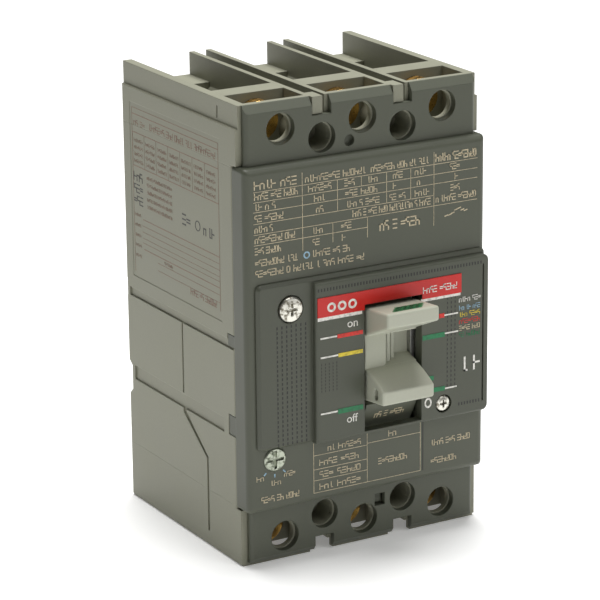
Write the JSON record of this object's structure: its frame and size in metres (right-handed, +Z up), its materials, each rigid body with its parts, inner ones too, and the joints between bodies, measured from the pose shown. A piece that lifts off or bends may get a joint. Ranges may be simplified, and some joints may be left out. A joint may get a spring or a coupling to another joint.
{
  "type": "moulded case circuit breaker",
  "caption": "Grey moulded case circuit breaker with a toggle handle in a raised front plate, screw-clamp terminals at both ends and a selector dial.",
  "frame": {"origin": "centre of the rear mounting face", "axes": "+X to the right across the poles, +Y into the mounting panel, +Z up towards the line terminals"},
  "size_m": [0.0762, 0.0847, 0.13],
  "materials": {
    "case_grey": "satin",
    "cover_dark": "matt",
    "handle_grey": "satin",
    "band_red": "gloss",
    "black_moulding": "matt",
    "fibre": "matt",
    "bright_steel": "satin",
    "sheet_steel": "satin",
    "spring_steel": "satin",
    "brass_screw": "satin",
    "copper": "satin",
    "tinned_copper": "satin",
    "print_cream": "printed",
    "print_brown": "printed",
    "mark_red": "printed",
    "mark_yellow": "printed",
    "mark_green": "printed"
  },
  "bodies": {
    "base": {"rear_case": "case_grey", "line_end_walls": "case_grey", "line_rear_blocks": "case_grey", "line_crossbars": "case_grey", "line_front_rails": "case_grey", "load_end_walls": "case_grey", "load_rear_blocks": "case_grey", "load_crossbars": "case_grey", "load_front_rails": "case_grey", "main_cover": "cover_dark", "line_end_cover": "cover_dark", "load_end_cover": "cover_dark", "accessory_cover": "cover_dark", "escutcheon": "cover_dark", "colour_band": "band_red", "cover_screw": "bright_steel", "small_cover_screw": "bright_steel", "lid_screws": "bright_steel", "mechanism_frame": "sheet_steel", "frame_pins": "sheet_steel", "main_springs": "spring_steel", "armature_pins": "sheet_steel", "terminal_screws": "brass_screw", "terminal_nuts": "sheet_steel", "pressure_pads": "sheet_steel", "trip_spring": "spring_steel", "button_spring": "spring_steel", "bimetals": "sheet_steel", "magnet_yokes": "sheet_steel", "braids": "copper", "arc_plates": "sheet_steel", "arc_cheeks": "fibre", "line_terminal_1": "tinned_copper", "line_terminal_2": "tinned_copper", "line_terminal_3": "tinned_copper", "load_terminal_1": "tinned_copper", "load_terminal_2": "tinned_copper", "load_terminal_3": "tinned_copper"},
    "handle": {"toggle_handle": "handle_grey", "rating_apron": "cover_dark", "handle_yoke": "sheet_steel", "link_pin": "sheet_steel"},
    "drive_link_body": {"drive_link": "sheet_steel"},
    "contact_rotor": {"contact_shaft": "black_moulding", "crank_pin": "sheet_steel", "contact_pins": "sheet_steel", "contact_arm_1": "copper", "contact_arm_2": "copper", "contact_arm_3": "copper", "contact_spring_1": "spring_steel", "contact_spring_2": "spring_steel", "contact_spring_3": "spring_steel"},
    "trip_bar_body": {"trip_bar": "black_moulding"},
    "armature_left": {"armature_1": "sheet_steel"},
    "armature_middle": {"armature_2": "sheet_steel"},
    "armature_right": {"armature_3": "sheet_steel"},
    "test_button": {"trip_button": "cover_dark"},
    "selector": {"trip_dial": "bright_steel"}
  },
  "joints": [
    {"name": "handle_swing", "type": "hinge", "parent": "base", "child": "handle", "pos_m": [0.00605, -0.038, -0.008], "axis": [1, 0, 0], "range_deg": [0, 12]},
    {"name": "link_turn", "type": "hinge", "parent": "handle", "child": "drive_link_body", "pos_m": [0.0072, -0.04, -0.032], "axis": [1, 0, 0], "range_deg": [-8.4, 0]},
    {"name": "contact_turn", "type": "hinge", "parent": "base", "child": "contact_rotor", "pos_m": [0, -0.026, -0.004], "axis": [1, 0, 0], "range_deg": [0, 29.5]},
    {"name": "button_push", "type": "slide", "parent": "base", "child": "test_button", "axis": [0, 1, 0], "range_m": [0, 0.0015], "stiffness_N_per_m": 300, "springref_m": -0.001, "deforming": ["button_spring"]},
    {"name": "trip_bar_turn", "type": "hinge", "parent": "base", "child": "trip_bar_body", "pos_m": [0, -0.052, -0.033], "axis": [1, 0, 0], "range_deg": [0, 10.5]},
    {"name": "armature_left_swing", "type": "hinge", "parent": "base", "child": "armature_left", "pos_m": [-0.0254, -0.0275, -0.0385], "axis": [1, 0, 0], "range_deg": [-6, 0], "stiffness_Nm_per_rad": 0.01, "springref_deg": 5.73},
    {"name": "armature_middle_swing", "type": "hinge", "parent": "base", "child": "armature_middle", "pos_m": [0, -0.0275, -0.0385], "axis": [1, 0, 0], "range_deg": [-6, 0], "stiffness_Nm_per_rad": 0.01, "springref_deg": 5.73},
    {"name": "armature_right_swing", "type": "hinge", "parent": "base", "child": "armature_right", "pos_m": [0.0254, -0.0275, -0.0385], "axis": [1, 0, 0], "range_deg": [-6, 0], "stiffness_Nm_per_rad": 0.01, "springref_deg": 5.73},
    {"name": "selector_turn", "type": "hinge", "parent": "base", "child": "selector", "pos_m": [-0.0299, -0.07, -0.0336], "axis": [0, -1, 0], "range_deg": [-60, 60]}
  ],
  "couplings": [
    {"joint": "link_turn", "follows": "handle_swing", "ratio": -0.693},
    {"joint": "contact_turn", "follows": "handle_swing", "ratio": 2.45},
    {"joint": "trip_bar_turn", "follows": "button_push", "rad_per_m": 120}
  ]
}
